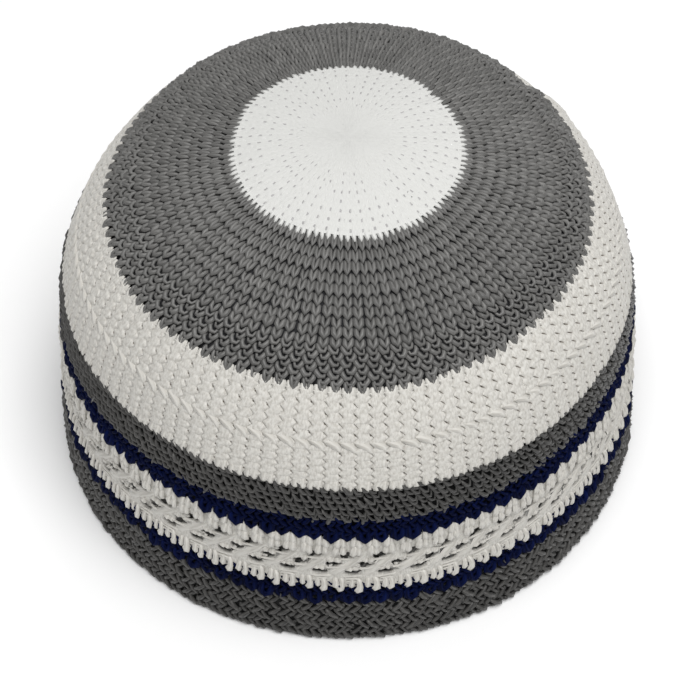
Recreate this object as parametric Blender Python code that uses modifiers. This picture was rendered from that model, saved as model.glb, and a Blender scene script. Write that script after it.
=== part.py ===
"""A knitted kufi: a round brimless cap made of eight rings of yarn.

The cap is one smooth outline turned about its upright axis. The outline is cut into bands at the
changes of yarn. The openwork band is pierced by slanted gaps, and the hem is folded at the rim and
turned up inside the cap as a facing. Lengths are in metres, +Z is up, the rim lies on z = 0, and the
front of the cap faces -Y. Arc lengths are measured along the outline, from the middle of the top.
"""

import math
from dataclasses import dataclass

import bmesh
import bpy
from mathutils import Vector

# Driving sizes of the outline
RIM_RADIUS = 0.0915
HEIGHT = 0.1225

# Thickness of the knit, and the gaps that part its layers and its bands
KNIT_WALL = 0.0020
FACING_WALL = 0.0015
LAYER_GAP = 0.0003
BAND_GAP = 0.0003

# The turning ridge that runs round the shoulder band
RIDGE_HEIGHT = 0.0006
RIDGE_WIDTH = 0.0045

# The openwork: plain knit above and below the slanted gaps, and the gaps themselves
OPENWORK_TOP_RAIL = 0.0072
OPENWORK_FOOT_RAIL = 0.0064
GAP_COUNT = 58
GAP_WIDTH_SHARE = 0.45
GAP_SLANT_SHARE = 0.92

# The folded rim, and the height that the facing has above the openwork and its stripes
FOLD_RADIUS = 0.0013
FOLD_FACETS = 2
FACING_RISE = 0.0010

# The back of the soft crown leans to +X
BACK_LEAN = 0.0040

# Facets round the cap, and points of the outline between two of its sections
FACETS_ROUND = 58
OUTLINE_DETAIL = 24
MERGE_DISTANCE = 0.00001
SHARP_ANGLE = math.radians(40)

WHITE_YARN = (0.76, 0.76, 0.72, 1.0)
CROWN_GREY_YARN = (0.18, 0.18, 0.165, 1.0)
DARK_GREY_YARN = (0.085, 0.083, 0.08, 1.0)
NAVY_YARN = (0.008, 0.018, 0.075, 1.0)


@dataclass(frozen=True)
class Section:
    """One place on the outline, in shares of the rim's radius and of the cap's height."""

    name: str
    radius_share: float
    height_share: float


SECTIONS = (
    Section("crown_top", 0.000, 1.000),
    Section("disc_edge", 0.364, 0.959),
    Section("ring_edge", 0.780, 0.800),
    Section("turning_ridge", 0.881, 0.687),
    Section("shoulder_foot", 0.933, 0.574),
    Section("side_foot", 0.953, 0.472),
    Section("upper_stripe_foot", 0.962, 0.407),
    Section("openwork_foot", 0.980, 0.220),
    Section("lower_stripe_foot", 0.986, 0.170),
    Section("rim", 1.000, 0.000),
)


@dataclass(frozen=True)
class Band:
    """One turned ring of yarn between two sections of the outline."""

    name: str
    top: str
    foot: str
    facets: int
    colour: tuple


TURNED_BANDS = (
    Band("crown_disc", "crown_top", "disc_edge", 4, WHITE_YARN),
    Band("crown_ring", "disc_edge", "ring_edge", 5, CROWN_GREY_YARN),
    Band("shoulder_band", "ring_edge", "shoulder_foot", 8, WHITE_YARN),
    Band("side_band", "shoulder_foot", "side_foot", 2, DARK_GREY_YARN),
    Band("navy_stripe_upper", "side_foot", "upper_stripe_foot", 2, NAVY_YARN),
    Band("navy_stripe_lower", "openwork_foot", "lower_stripe_foot", 1, NAVY_YARN),
)


class Outline:
    """The cap's outer outline, as a smooth curve through its sections.

    Points are (radius, height) vectors, and arc lengths run down from the middle of the top.
    """

    def __init__(self, sections: tuple) -> None:
        knots = [Vector((row.radius_share * RIM_RADIUS, row.height_share * HEIGHT)) for row in sections]
        mirrored = Vector((-knots[1].x, knots[1].y))
        beyond = 2 * knots[-1] - knots[-2]
        guides = [mirrored] + knots + [beyond]
        self.points = []
        self.section_index = {}
        for index, row in enumerate(sections):
            self.section_index[row.name] = len(self.points)
            if index == len(knots) - 1:
                self.points.append(knots[-1])
                break
            self.points += smooth_span(*guides[index:index + 4], OUTLINE_DETAIL)
        self.arcs = [0.0]
        for start, end in zip(self.points, self.points[1:]):
            self.arcs.append(self.arcs[-1] + (end - start).length)

    def arc_of(self, section: str) -> float:
        """Return the arc length at a named section."""
        return self.arcs[self.section_index[section]]

    def ridge_height(self, arc: float) -> float:
        """Return how far the turning ridge stands out at an arc length."""
        offset = abs(arc - self.arc_of("turning_ridge")) / (RIDGE_WIDTH / 2)
        return RIDGE_HEIGHT * math.cos(offset * math.pi / 2) ** 2 if offset < 1 else 0.0

    def point(self, arc: float, depth: float = 0.0) -> Vector:
        """Return the (radius, height) at an arc length.

        Args:
            arc: arc length from the middle of the top.
            depth: distance inwards from the outer face, square to the outline.
        """
        arc = min(max(arc, 0.0), self.arcs[-1])
        index = next((i for i, end in enumerate(self.arcs[1:]) if end >= arc), len(self.arcs) - 2)
        start, end = self.points[index], self.points[index + 1]
        share = (arc - self.arcs[index]) / (self.arcs[index + 1] - self.arcs[index])
        before, after = self.tangent(index), self.tangent(index + 1)
        along = before.lerp(after, share).normalized()
        outwards = Vector((-along.y, along.x))
        stand_out = self.ridge_height(arc) if depth == 0.0 else 0.0
        place = start.lerp(end, share) + outwards * (stand_out - depth)
        return Vector((max(place.x, 0.0), place.y))

    def tangent(self, index: int) -> Vector:
        """Return the direction down the outline at one of its points."""
        if index == 0:
            return Vector((1.0, 0.0))
        before = self.points[index - 1]
        after = self.points[min(index + 1, len(self.points) - 1)]
        return (after - before).normalized()

    def run(self, first_arc: float, last_arc: float, facets: int, depth: float) -> list:
        """Return evenly spaced points from one arc length to another at one depth."""
        span = last_arc - first_arc
        return [self.point(first_arc + span * step / facets, depth) for step in range(facets + 1)]


def smooth_span(before: Vector, start: Vector, end: Vector, after: Vector, steps: int) -> list:
    """Return points on a smooth curve from start towards end, without the end itself.

    The slope at each end follows the neighbouring guide, weighted by the lengths of the spans.
    """
    lengths = [(start - before).length, (end - start).length, (after - end).length]
    slopes = [(start - before) / lengths[0], (end - start) / lengths[1], (after - end) / lengths[2]]
    start_slope = (slopes[0] * lengths[1] + slopes[1] * lengths[0]) / (lengths[0] + lengths[1])
    end_slope = (slopes[1] * lengths[2] + slopes[2] * lengths[1]) / (lengths[1] + lengths[2])
    handle = lengths[1] / 3
    first_handle = start + start_slope * handle
    last_handle = end - end_slope * handle
    points = []
    for step in range(steps):
        share = step / steps
        rest = 1 - share
        points.append(
            start * rest ** 3
            + first_handle * 3 * rest ** 2 * share
            + last_handle * 3 * rest * share ** 2
            + end * share ** 3
        )
    return points


def lean(place: Vector) -> Vector:
    """Return a place moved sideways as the back of the crown leans.

    The lean grows with the height and towards the back, and it is nothing at the rim and in front.
    """
    back_share = max(place.y, 0.0) / RIM_RADIUS
    return Vector((place.x + BACK_LEAN * place.z / HEIGHT * back_share ** 2, place.y, place.z))


def clear_scene() -> None:
    """Remove the objects that the scene starts with."""
    for old in list(bpy.data.objects):
        bpy.data.objects.remove(old, do_unlink=True)


def new_collection(name: str) -> bpy.types.Collection:
    """Return a new collection that is linked to the scene."""
    collection = bpy.data.collections.new(name)
    bpy.context.scene.collection.children.link(collection)
    return collection


def yarn_material(name: str, colour: tuple) -> bpy.types.Material:
    """Return a matt material in the yarn's colour."""
    material = bpy.data.materials.new(name)
    material.use_nodes = True
    shader = material.node_tree.nodes["Principled BSDF"]
    shader.inputs["Base Color"].default_value = colour
    shader.inputs["Roughness"].default_value = 0.75
    shader.inputs["Metallic"].default_value = 0.0
    return material


def finish_piece(mesh: bpy.types.Mesh, name: str, colour: tuple, kufi: bpy.types.Collection):
    """Shade a mesh, give it its yarn and link it as a named piece of the kufi."""
    mesh.name = name
    mesh.materials.clear()
    mesh.materials.append(yarn_material(name, colour))
    mesh.shade_smooth()
    mesh.set_sharp_from_angle(angle=SHARP_ANGLE)
    piece = bpy.data.objects.new(name, mesh)
    kufi.objects.link(piece)
    return piece


def profile_edges(section: list, closed: bool) -> list:
    """Return the edges that join a section's points in order."""
    edges = [(index, index + 1) for index in range(len(section) - 1)]
    return edges + [(len(section) - 1, 0)] if closed else edges


def turned_mesh(section: list, closed: bool) -> bpy.types.Mesh:
    """Turn a section about the Z axis and let the crown lean.

    Args:
        section: (radius, height) points that run down the outer side first.
        closed: whether the section is a ring; otherwise it starts and ends on the axis.
    """
    profile = bpy.data.meshes.new("profile")
    profile.from_pydata([(point.x, 0.0, point.y) for point in section], profile_edges(section, closed), [])
    turned = bpy.data.objects.new("profile", profile)
    bpy.context.scene.collection.objects.link(turned)
    screw = turned.modifiers.new("turn", "SCREW")
    screw.steps = FACETS_ROUND
    screw.render_steps = FACETS_ROUND
    screw.use_merge_vertices = True
    screw.merge_threshold = MERGE_DISTANCE
    depsgraph = bpy.context.evaluated_depsgraph_get()
    mesh = bpy.data.meshes.new_from_object(turned.evaluated_get(depsgraph))
    bpy.data.objects.remove(turned, do_unlink=True)
    for vertex in mesh.vertices:
        vertex.co = lean(vertex.co)
    return mesh


def band_section(outline: Outline, band: Band) -> list:
    """Return the section of a turned band, half a gap clear of its neighbours."""
    on_axis = outline.arc_of(band.top) == 0.0
    first_arc = 0.0 if on_axis else outline.arc_of(band.top) + BAND_GAP / 2
    last_arc = outline.arc_of(band.foot) - BAND_GAP / 2
    outer = outline.run(first_arc, last_arc, band.facets, 0.0)
    inner = outline.run(first_arc, last_arc, band.facets, KNIT_WALL)
    return outer + inner[::-1]


def build_turned_band(outline: Outline, band: Band, kufi: bpy.types.Collection) -> None:
    """Build one plain ring, or the disc where the band reaches the axis."""
    on_axis = outline.arc_of(band.top) == 0.0
    mesh = turned_mesh(band_section(outline, band), closed=not on_axis)
    finish_piece(mesh, band.name, band.colour, kufi)


def quarter_turn(centre: Vector, radius: float, first_angle: float) -> list:
    """Return the points of a quarter circle that turns clockwise from an angle in degrees."""
    angles = [math.radians(first_angle - 90 * step / FOLD_FACETS) for step in range(FOLD_FACETS + 1)]
    return [centre + Vector((math.cos(angle), math.sin(angle))) * radius for angle in angles]


def build_hem(outline: Outline, kufi: bpy.types.Collection) -> None:
    """Build the hem: the outer band, the fold at the rim and the facing turned up inside."""
    facing_depth = KNIT_WALL + LAYER_GAP
    whole_depth = facing_depth + FACING_WALL
    fold = min(FOLD_RADIUS, 0.4 * whole_depth)
    hem_top = outline.arc_of("lower_stripe_foot") + BAND_GAP / 2
    fold_start = outline.arc_of("rim") - fold
    facing_top = outline.arc_of("side_foot") - FACING_RISE
    outer = outline.run(hem_top, fold_start, 3, 0.0)
    facing_inner = outline.run(fold_start, facing_top, 6, whole_depth)
    facing_outer = outline.run(facing_top, hem_top, 4, facing_depth)
    outer_fold = quarter_turn(Vector((outer[-1].x - fold, fold)), fold, 0)
    inner_fold = quarter_turn(Vector((facing_inner[0].x + fold, fold)), fold, -90)
    section = outer[:-1] + outer_fold + inner_fold + facing_inner[1:] + facing_outer
    finish_piece(turned_mesh(section, closed=True), "hem", DARK_GREY_YARN, kufi)


def openwork_rows(outline: Outline) -> list:
    """Return the arc length and the sideways slant of each row of the openwork, foot first."""
    foot = outline.arc_of("openwork_foot") - BAND_GAP / 2
    top = outline.arc_of("upper_stripe_foot") + BAND_GAP / 2
    gap_foot = foot - OPENWORK_FOOT_RAIL
    gap_top = top + OPENWORK_TOP_RAIL
    repeat_angle = 2 * math.pi / GAP_COUNT
    steps = 3
    rows = [(foot, 0.0)]
    for step in range(steps + 1):
        share = step / steps
        rows.append((gap_foot + (gap_top - gap_foot) * share, share * GAP_SLANT_SHARE * repeat_angle))
    rows.append((top, GAP_SLANT_SHARE * repeat_angle))
    return rows


def openwork_column_angle(column: int) -> float:
    """Return the angle of a column, counted so that gaps and cords take turns."""
    repeat, is_gap_end = divmod(column, 2)
    return (repeat + (GAP_WIDTH_SHARE if is_gap_end else 0.0)) * 2 * math.pi / GAP_COUNT


def wrap_openwork(grid: bmesh.types.BMesh, outline: Outline, rows: list) -> None:
    """Wrap a flat grid onto the outline, with its rows sheared to the slant of the gaps."""
    columns = 2 * GAP_COUNT
    for vertex in grid.verts:
        column = round((vertex.co.x + 0.5) * columns)
        arc, slant = rows[round((vertex.co.y + 0.5) * (len(rows) - 1))]
        angle = openwork_column_angle(column) + slant
        place = outline.point(arc)
        vertex.co = lean(Vector((place.x * math.sin(angle), -place.x * math.cos(angle), place.y)))


def build_openwork(outline: Outline, kufi: bpy.types.Collection) -> None:
    """Build the openwork band: a wrapped grid with its slanted gaps left out, made solid."""
    rows = openwork_rows(outline)
    columns = 2 * GAP_COUNT
    grid = bmesh.new()
    bmesh.ops.create_grid(grid, x_segments=columns, y_segments=len(rows) - 1, size=0.5)
    gaps = []
    for face in grid.faces:
        middle = face.calc_center_median()
        column = math.floor((middle.x + 0.5) * columns)
        row = math.floor((middle.y + 0.5) * (len(rows) - 1))
        if column % 2 == 0 and 0 < row < len(rows) - 2:
            gaps.append(face)
    bmesh.ops.delete(grid, geom=gaps, context="FACES")
    wrap_openwork(grid, outline, rows)
    bmesh.ops.remove_doubles(grid, verts=grid.verts, dist=MERGE_DISTANCE)
    mesh = bpy.data.meshes.new("openwork_band")
    grid.to_mesh(mesh)
    grid.free()
    piece = finish_piece(mesh, "openwork_band", WHITE_YARN, kufi)
    solidify = piece.modifiers.new("knit_wall", "SOLIDIFY")
    solidify.thickness = KNIT_WALL
    solidify.offset = -1.0


def build_kufi() -> None:
    """Build every band of the cap into one collection."""
    clear_scene()
    kufi = new_collection("kufi")
    outline = Outline(SECTIONS)
    for band in TURNED_BANDS:
        build_turned_band(outline, band, kufi)
    build_openwork(outline, kufi)
    build_hem(outline, kufi)


build_kufi()
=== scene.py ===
"""The look of a knitted kufi: every loop of its yarn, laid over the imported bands.

The cap is knitted here as it is on the needles. A course is one row of loops round the cap, and a wale
is one column of them. Each loop is a short length of yarn that is swept along its own path on the
cap's outline. The close knit of the disc and the shoulder is a sheet pressed in between its stitches.
The walls behind the loops close the knit and carry the purl side inside the cap.

Lengths are in metres. The rim lies on z = 0 and the front of the cap faces -Y. Angles are measured
from the front towards +X, and arc lengths along the outline, from the middle of the top.
"""

import logging
import math
from collections.abc import Callable, Iterator, Sequence
from contextlib import contextmanager
from dataclasses import dataclass, replace
from enum import Enum
from typing import NamedTuple

import bpy
import numpy as np
from bpy.types import Material, Mesh, Node, Object
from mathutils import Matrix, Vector

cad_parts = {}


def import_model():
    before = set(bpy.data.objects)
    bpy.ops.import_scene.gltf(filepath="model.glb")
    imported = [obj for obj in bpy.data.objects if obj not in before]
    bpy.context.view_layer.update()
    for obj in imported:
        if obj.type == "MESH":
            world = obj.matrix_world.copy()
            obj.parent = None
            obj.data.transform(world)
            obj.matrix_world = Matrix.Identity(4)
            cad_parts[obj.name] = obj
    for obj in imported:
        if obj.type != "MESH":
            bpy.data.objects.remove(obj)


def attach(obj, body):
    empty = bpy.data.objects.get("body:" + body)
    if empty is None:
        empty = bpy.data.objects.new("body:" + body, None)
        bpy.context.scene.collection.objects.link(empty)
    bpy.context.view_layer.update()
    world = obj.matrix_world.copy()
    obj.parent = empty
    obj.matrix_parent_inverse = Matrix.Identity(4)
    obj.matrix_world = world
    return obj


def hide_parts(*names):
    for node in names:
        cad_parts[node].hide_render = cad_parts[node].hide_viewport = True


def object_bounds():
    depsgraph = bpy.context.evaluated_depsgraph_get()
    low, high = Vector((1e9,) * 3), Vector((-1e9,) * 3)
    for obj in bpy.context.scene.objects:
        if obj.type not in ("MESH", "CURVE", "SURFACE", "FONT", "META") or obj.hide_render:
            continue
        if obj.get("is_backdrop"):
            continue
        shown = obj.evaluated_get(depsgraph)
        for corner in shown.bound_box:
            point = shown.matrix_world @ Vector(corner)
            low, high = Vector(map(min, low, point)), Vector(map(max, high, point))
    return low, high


LOG = logging.getLogger("kufi")

BODY = "root"
WALES = 116
MM = 0.001
FULL_TURN = 2 * math.pi
PATH_DETAIL = 12


class Section(NamedTuple):
    """One place on the outline, in shares of the rim's radius and of the cap's height."""

    name: str
    radius_share: float
    height_share: float


class CapSurface:
    """The outer face of the cap, as a smooth surface that loops of yarn are laid on."""

    SECTIONS = (
        Section("crown_top", 0.000, 1.000),
        Section("disc_edge", 0.364, 0.959),
        Section("ring_edge", 0.780, 0.800),
        Section("turning_ridge", 0.881, 0.687),
        Section("shoulder_foot", 0.933, 0.574),
        Section("side_foot", 0.953, 0.472),
        Section("upper_stripe_foot", 0.962, 0.407),
        Section("openwork_foot", 0.980, 0.220),
        Section("lower_stripe_foot", 0.986, 0.170),
        Section("rim", 1.000, 0.000),
    )
    DETAIL = 60
    BACK_LEAN = 4.0 * MM
    SEAM_ANGLE = math.radians(130.0)
    SEAM_WIDTH = math.radians(2.4)
    SEAM_TUCK = 0.9 * MM
    SEAM_RIDGE = 0.8 * MM
    SEAM_PULL = 1.2 * MM
    SEAM_RIDGE_SIDE = 2.2
    SEAM_PULL_WIDTH = 3
    WAVE_ARC = 0.45 * MM
    WAVES = ((1.0, 2, 1.1), (0.6, 5, 0.4), (0.3, 11, 0.0))
    SWELL_RISE = 0.35 * MM
    SWELLS = ((1.0, 3, 9), (0.5, 7, -14))

    def __init__(self, low: Vector, high: Vector) -> None:
        """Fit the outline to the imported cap.

        Args:
            low: lowest corner of the cap's box.
            high: highest corner of the cap's box.
        """
        self.rim_radius = (high.x - low.x) / 2
        self.height = high.z - low.z
        points, self.section_arcs = self._outline()
        steps = np.hypot(*np.diff(points, axis=0).T)
        self.arcs = np.concatenate([[0.0], np.cumsum(steps)])
        self.total = float(self.arcs[-1])
        self.radii = points[:, 0]
        self.heights = points[:, 1]
        slope = np.gradient(points, self.arcs, axis=0)
        slope /= np.linalg.norm(slope, axis=1, keepdims=True)
        slope[0] = (1.0, 0.0)
        self.out_radius = -slope[:, 1]
        self.out_height = slope[:, 0]
        self.section_arcs = {name: float(self.arcs[index]) for name, index in self.section_arcs.items()}

    def _outline(self) -> tuple[np.ndarray, dict[str, int]]:
        """Return the outline's points and each section's index among them."""
        scale = np.array([self.rim_radius, self.height])
        knots = np.array([(row.radius_share, row.height_share) for row in self.SECTIONS]) * scale
        guides = np.vstack([knots[1] * (-1, 1), knots, 2 * knots[-1] - knots[-2]])
        spans = []
        for index in range(len(knots) - 1):
            spans.append(smooth_span(guides[index:index + 4], self.DETAIL))
        indices = {row.name: index * self.DETAIL for index, row in enumerate(self.SECTIONS)}
        return np.vstack([*spans, knots[-1:]]), indices

    def arc(self, section: str) -> float:
        """Return the arc length at a named section."""
        return self.section_arcs[section]

    def cell_width(self, arc: float, count: int = WALES) -> float:
        """Return how wide one of some equal cells round the cap is at an arc length."""
        return float(np.interp(arc, self.arcs, self.radii)) * FULL_TURN / count

    def settle(self, angles: np.ndarray, arcs: np.ndarray) -> tuple[np.ndarray, np.ndarray]:
        """Return the arc lengths and rises of soft knit that sags, waves and is pulled in at its seam."""
        free = np.sin(np.clip(arcs / self.total, 0.0, 1.0) * math.pi)
        wave = sum(size * np.sin(count * angles + start) for size, count, start in self.WAVES)
        swell = sum(
            size * np.sin(count * angles + slant * arcs / self.total)
            for size, count, slant in self.SWELLS)
        offset = (angles - self.SEAM_ANGLE + math.pi) % FULL_TURN - math.pi
        tuck = np.exp(-((offset / self.SEAM_WIDTH) ** 2))
        ridge = np.exp(-(((offset + self.SEAM_RIDGE_SIDE * self.SEAM_WIDTH) / self.SEAM_WIDTH) ** 2))
        seam = self.SEAM_RIDGE * ridge - self.SEAM_TUCK * tuck
        begun = np.clip(arcs / self.arc("disc_edge") * 3 - 2.2, 0.0, 1.0)
        rises = (self.SWELL_RISE * swell + seam * begun) * free
        pull = self.SEAM_PULL * np.exp(-((offset / (self.SEAM_PULL_WIDTH * self.SEAM_WIDTH)) ** 2)) * begun
        return arcs + (self.WAVE_ARC * wave - pull) * free, rises

    def place(self, angles: np.ndarray, arcs: np.ndarray, rises: np.ndarray) -> np.ndarray:
        """Return the places of points on the cap.

        Args:
            angles: angles round the cap, from the front towards +X.
            arcs: arc lengths down the outline.
            rises: distances outwards from the outline.

        Returns:
            An array of points with one more axis than the arguments, for x, y and z.
        """
        settled, swell = self.settle(angles, arcs)
        out = rises + swell
        columns = (self.radii, self.heights, self.out_radius, self.out_height)
        radius, height, aside, upwards = (np.interp(settled, self.arcs, column) for column in columns)
        radius += aside * out
        height += upwards * out
        x = radius * np.sin(angles)
        y = -radius * np.cos(angles)
        back = np.maximum(y, 0.0) / self.rim_radius
        lean = self.BACK_LEAN * height / self.height * back ** 2
        return np.stack([x + lean, y, np.maximum(height, 0.0)], axis=-1)


def smooth_span(guides: np.ndarray, steps: int) -> np.ndarray:
    """Return points on a smooth curve between the two middle guides, without the last of them.

    Args:
        guides: four points in a row.
        steps: how many points the span gets.
    """
    lengths = np.linalg.norm(np.diff(guides, axis=0), axis=1)
    slopes = np.diff(guides, axis=0) / lengths[:, None]
    start = (slopes[0] * lengths[1] + slopes[1] * lengths[0]) / (lengths[0] + lengths[1])
    end = (slopes[1] * lengths[2] + slopes[2] * lengths[1]) / (lengths[1] + lengths[2])
    handles = (guides[1], guides[1] + start * lengths[1] / 3, guides[2] - end * lengths[1] / 3, guides[2])
    share = (np.arange(steps) / steps)[:, None]
    rest = 1 - share
    weights = (rest ** 3, 3 * rest ** 2 * share, 3 * rest * share ** 2, share ** 3)
    return sum(weight * handle for weight, handle in zip(weights, handles))


class Knot(NamedTuple):
    """One point of a loop's path, in the loop's own cell.

    across is in wales from the middle of the loop, along runs from 0 at the top of the course to 1
    at its foot, rise is in yarn radii above the cap's face, and girth is a share of the yarn's radius.
    """

    across: float
    along: float
    rise: float
    girth: float = 1.0


Path = tuple[Knot, ...]


def path(*rows: tuple[float, ...]) -> Path:
    """Return a path through knots that are given as plain rows."""
    return tuple(Knot(*row) for row in rows)


def flipped(knots: Path) -> Path:
    """Return a path with its left and right exchanged."""
    return tuple(knot._replace(across=-knot.across) for knot in knots)


def mirrored(*half: tuple[float, ...]) -> Path:
    """Return a path whose second half mirrors its first. The last row given lies in the middle."""
    knots = path(*half)
    return (*knots, *flipped(knots[-2::-1]))


class LoopForm(Enum):
    """The ways that one loop of yarn lies, each drawn as a path through its knots."""

    PETAL = mirrored(
        (-0.33, -0.26, -2.0, 0.55), (-0.29, 0.12, -0.5, 0.9), (-0.25, 0.50, 0.1, 1.1),
        (-0.19, 0.86, 0.2, 1.05), (0.0, 1.06, -0.2, 0.85))
    TOOTH = path(
        (-0.12, -0.50, -1.6, 1.0), (-0.05, 0.05, -0.4, 1.0), (0.06, 0.60, 0.0, 0.80),
        (0.14, 1.05, -0.3, 0.30))
    LEFT_CUP = path(
        (-0.42, -0.38, -2.2, 0.7), (-0.42, 0.05, -0.4, 1.1), (-0.30, 0.55, 0.3, 1.3),
        (-0.04, 1.02, 0.2, 1.1), (0.18, 0.85, -0.3, 0.85), (0.27, 0.30, -0.9, 0.8),
        (0.28, -0.28, -2.2, 0.6))
    RIGHT_CUP = path(
        (-0.28, -0.28, -2.2, 0.6), (-0.27, 0.30, -0.9, 0.8), (-0.18, 0.85, -0.3, 0.85),
        (0.04, 1.02, 0.3, 1.15), (0.29, 0.58, 0.4, 1.35), (0.36, 0.05, -0.3, 1.1),
        (0.32, -0.38, -2.2, 0.7))
    CREST = path(
        (0.0, 1.15, -1.4, 0.8), (0.0, 0.60, -0.1, 1.0), (0.0, 0.22, 0.0, 1.1), (0.0, 0.04, -0.2, 0.95),
        (0.0, -0.05, -0.8, 0.6))
    POINT = mirrored(
        (-0.30, -0.50, -1.8, 0.7), (-0.26, 0.00, -0.3, 1.0), (-0.17, 0.50, 0.1, 1.15),
        (0.0, 1.05, -0.3, 0.8))
    TURNING = path(
        (-0.62, 0.16, -1.4, 0.35), (-0.40, 0.08, -0.1, 0.75), (-0.06, 0.22, 0.3, 1.1),
        (0.26, 0.50, 0.3, 1.15), (0.42, 0.88, -0.3, 0.8), (0.45, 1.12, -1.6, 0.45))
    TALL_LOOP = mirrored(
        (-0.28, -0.25, -1.5, 0.8), (-0.29, 0.15, -0.2), (-0.27, 0.62, 0.0, 1.1), (-0.17, 0.91, -0.05, 1.1),
        (0.0, 1.02, -0.1, 1.1))
    STROKE = path(
        (-0.66, -0.22, -1.7, 0.5), (-0.36, 0.12, 0.0, 0.95), (0.36, 0.88, 0.0, 0.95),
        (0.66, 1.22, -1.7, 0.5))
    BACK_STROKE = flipped(STROKE)
    CURL = path(
        (-0.50, -0.05, -1.9, 0.5), (-0.38, 0.08, 0.0, 1.0), (-0.10, 0.40, 0.6, 1.35),
        (0.18, 0.78, 0.4, 1.3), (0.38, 0.82, -0.1, 1.0), (0.48, 0.42, -0.9, 0.8), (0.46, 0.02, -2.0, 0.6))
    BAR = path(
        (0.0, -0.06, -1.5, 0.5), (0.0, 0.06, -0.4, 0.9), (0.02, 0.36, 0.0, 0.95), (-0.02, 0.72, 0.2, 1.20),
        (0.0, 0.92, -0.1, 1.15), (0.0, 1.03, -0.8, 0.6))
    HOOK = path(
        (-0.10, -0.10, -1.2, 0.7), (0.02, 0.18, -0.1, 0.95), (0.07, 0.50, 0.2, 0.95),
        (0.05, 0.74, 0.3, 1.22), (-0.02, 0.91, 0.1, 1.28), (-0.10, 1.03, -0.6, 0.80))
    ARCH = path(
        (-0.26, 1.00, -1.5, 0.8), (-0.18, 0.45, 0.0, 1.0), (0.0, 0.15, 0.2, 1.0), (0.18, 0.45, 0.0, 1.0),
        (0.26, 1.00, -1.5, 0.8))
    SHELF = path(
        (-0.36, 0.72, -1.6, 0.3), (-0.20, 0.62, -0.2, 0.9), (0.08, 0.44, 0.1, 1.0),
        (0.34, 0.16, -0.4, 0.8), (0.46, 0.00, -1.8, 0.3))
    FOLD = path(
        (-0.55, 0.0, 0.1, 0.7), (-0.25, 0.75, -0.6, 0.9), (0.0, 1.00, -2.0, 0.95), (0.25, 0.75, -3.2, 0.9),
        (0.55, -0.2, -4.0, 0.7))


@dataclass(frozen=True)
class Course:
    """One row of loops round the cap.

    Attributes:
        top: arc length where the course starts.
        foot: arc length where it ends.
        form: how its loops lie.
        sway_top: how far the loops' tops lean to +X, in cells.
        sway_foot: how far their feet lean, in cells.
        lift: how far the whole course stands out.
        count: how many loops there are round the cap.
        shift: how far the course is turned to +X, in cells.
        girth: the yarn's radius in cell widths, or none for the band's own.
        reach: how wide the loops are, as a share of their form's width.
    """

    top: float
    foot: float
    form: LoopForm
    sway_top: float = 0.0
    sway_foot: float = 0.0
    lift: float = 0.0
    count: int = WALES
    shift: float = 0.0
    girth: float | None = None
    reach: float = 1.0


def stacked(edges: np.ndarray, *forms: LoopForm, **settings) -> list[Course]:
    """Return a course between every two edges.

    Args:
        edges: arc lengths, from the top down.
        forms: how the loops lie, in turn.
        settings: the other fields of every course.
    """
    pairs = enumerate(zip(edges, edges[1:]))
    return [Course(top, foot, forms[row % len(forms)], **settings) for row, (top, foot) in pairs]


@dataclass
class Strands:
    """Lengths of yarn on the cap: one row for each length, one column for each point of its path."""

    angles: np.ndarray
    arcs: np.ndarray
    rises: np.ndarray
    radii: np.ndarray

    @staticmethod
    def joined(batches: list["Strands"]) -> "Strands":
        """Return several batches as one."""
        names = ("angles", "arcs", "rises", "radii")
        return Strands(*(np.vstack([getattr(batch, name) for batch in batches]) for name in names))


def resampled(knots: Path, points: int) -> np.ndarray:
    """Return evenly spread points along a smooth path through some knots.

    Args:
        knots: the path's knots.
        points: how many points to return, both ends among them.

    Returns:
        An array with the columns of Knot.
    """
    rows = np.array(knots, float)
    guides = np.vstack([2 * rows[0] - rows[1], rows, 2 * rows[-1] - rows[-2]])
    dense = [smooth_span(guides[index:index + 4], PATH_DETAIL) for index in range(len(rows) - 1)]
    curve = np.vstack([*dense, rows[-1:]])
    reach = np.concatenate([[0.0], np.cumsum(np.linalg.norm(np.diff(curve[:, :3], axis=0), axis=1))])
    wanted = np.linspace(0.0, reach[-1], points)
    return np.stack([np.interp(wanted, reach, column) for column in curve.T], axis=1)


@dataclass(frozen=True)
class YarnFinish:
    """How one yarn looks: smooth nylon fibres, lightly twisted. Its colours are linear.

    Attributes:
        name: the name of its material.
        slot: the name of a material slot; it is not used.
        colour: the yarn's colour.
        deep_colour: the painted shade of its hollows between fibres.
        painted_shade_colour: the painted shade that shows behind the loops.
        uneven: how much the dye varies from loop to loop.
        roughness: how matt the fibres are.
        sheen: the soft glow at grazing angles.
        shine: how strongly the fibres reflect.
    """

    name: str
    slot: str
    colour: tuple[float, float, float]
    deep_colour: tuple[float, float, float]
    painted_shade_colour: tuple[float, float, float]
    uneven: float
    roughness: float = 0.75
    sheen: float = 0.2
    shine: float = 0.15


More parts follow.
